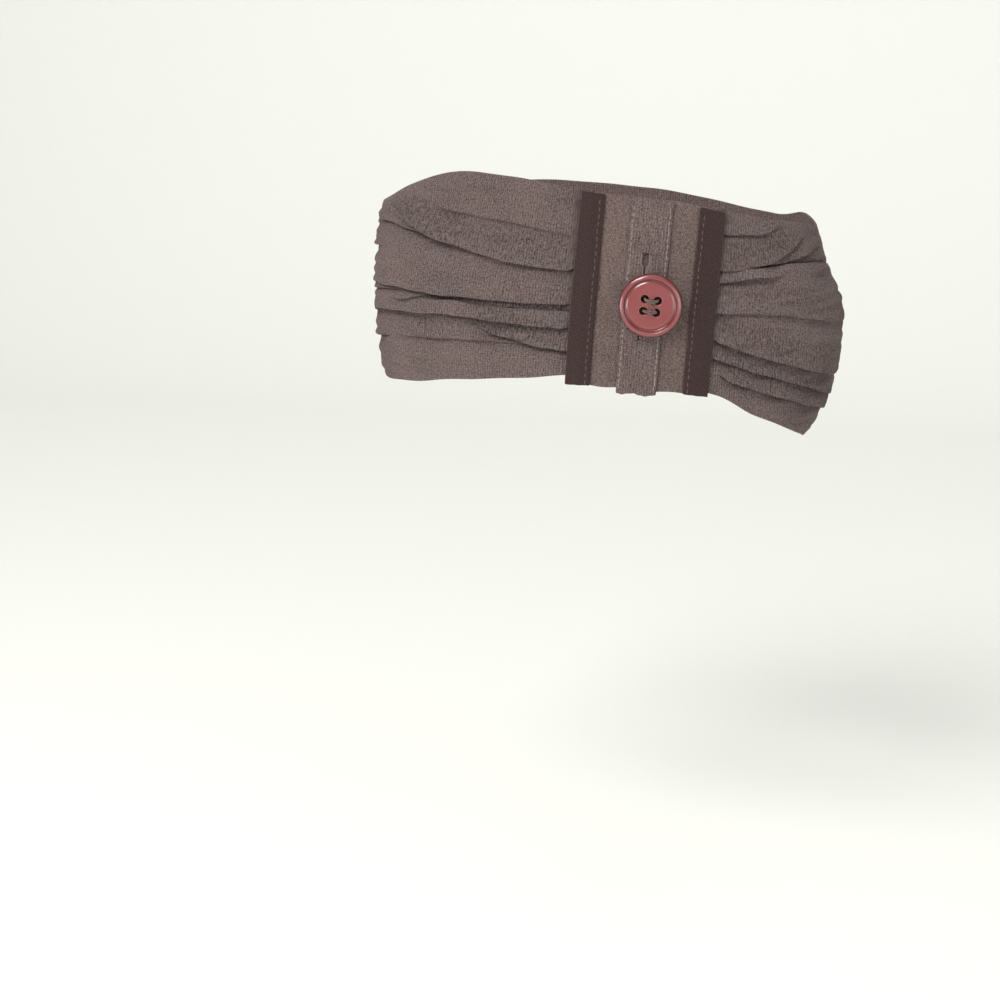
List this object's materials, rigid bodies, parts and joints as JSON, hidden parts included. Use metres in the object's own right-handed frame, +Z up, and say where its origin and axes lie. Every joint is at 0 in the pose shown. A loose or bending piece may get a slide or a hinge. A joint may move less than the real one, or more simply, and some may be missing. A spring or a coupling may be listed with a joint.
{
  "type": "gathered boot cuff",
  "caption": "Gathered soft cloth band that fits round the top of an ankle boot, with a flat tab edged by dark ribbons and a round button on its placket.",
  "frame": {"origin": "middle of the hollow that the boot's shaft fills, half way up the cuff", "axes": "+X towards the back of the boot, -Y out of the side with the tab and button, +Z up the boot's shaft"},
  "size_m": [0.1513, 0.0852, 0.085],
  "materials": {
    "taupe_cloth": "fine matt slubbed cloth in warm taupe grey",
    "brown_twill": "matt dark brown twill tape",
    "rose_plastic": "glossy dusty rose",
    "taupe_thread": "twisted sewing thread in taupe"
  },
  "bodies": {
    "root": {"ruched_band": "taupe_cloth", "tab_panel": "taupe_cloth", "placket_strip": "taupe_cloth", "ribbon_front": "brown_twill", "ribbon_back": "brown_twill", "button": "rose_plastic", "thread_upper": "taupe_thread", "thread_lower": "taupe_thread"}
  },
  "joints": []
}
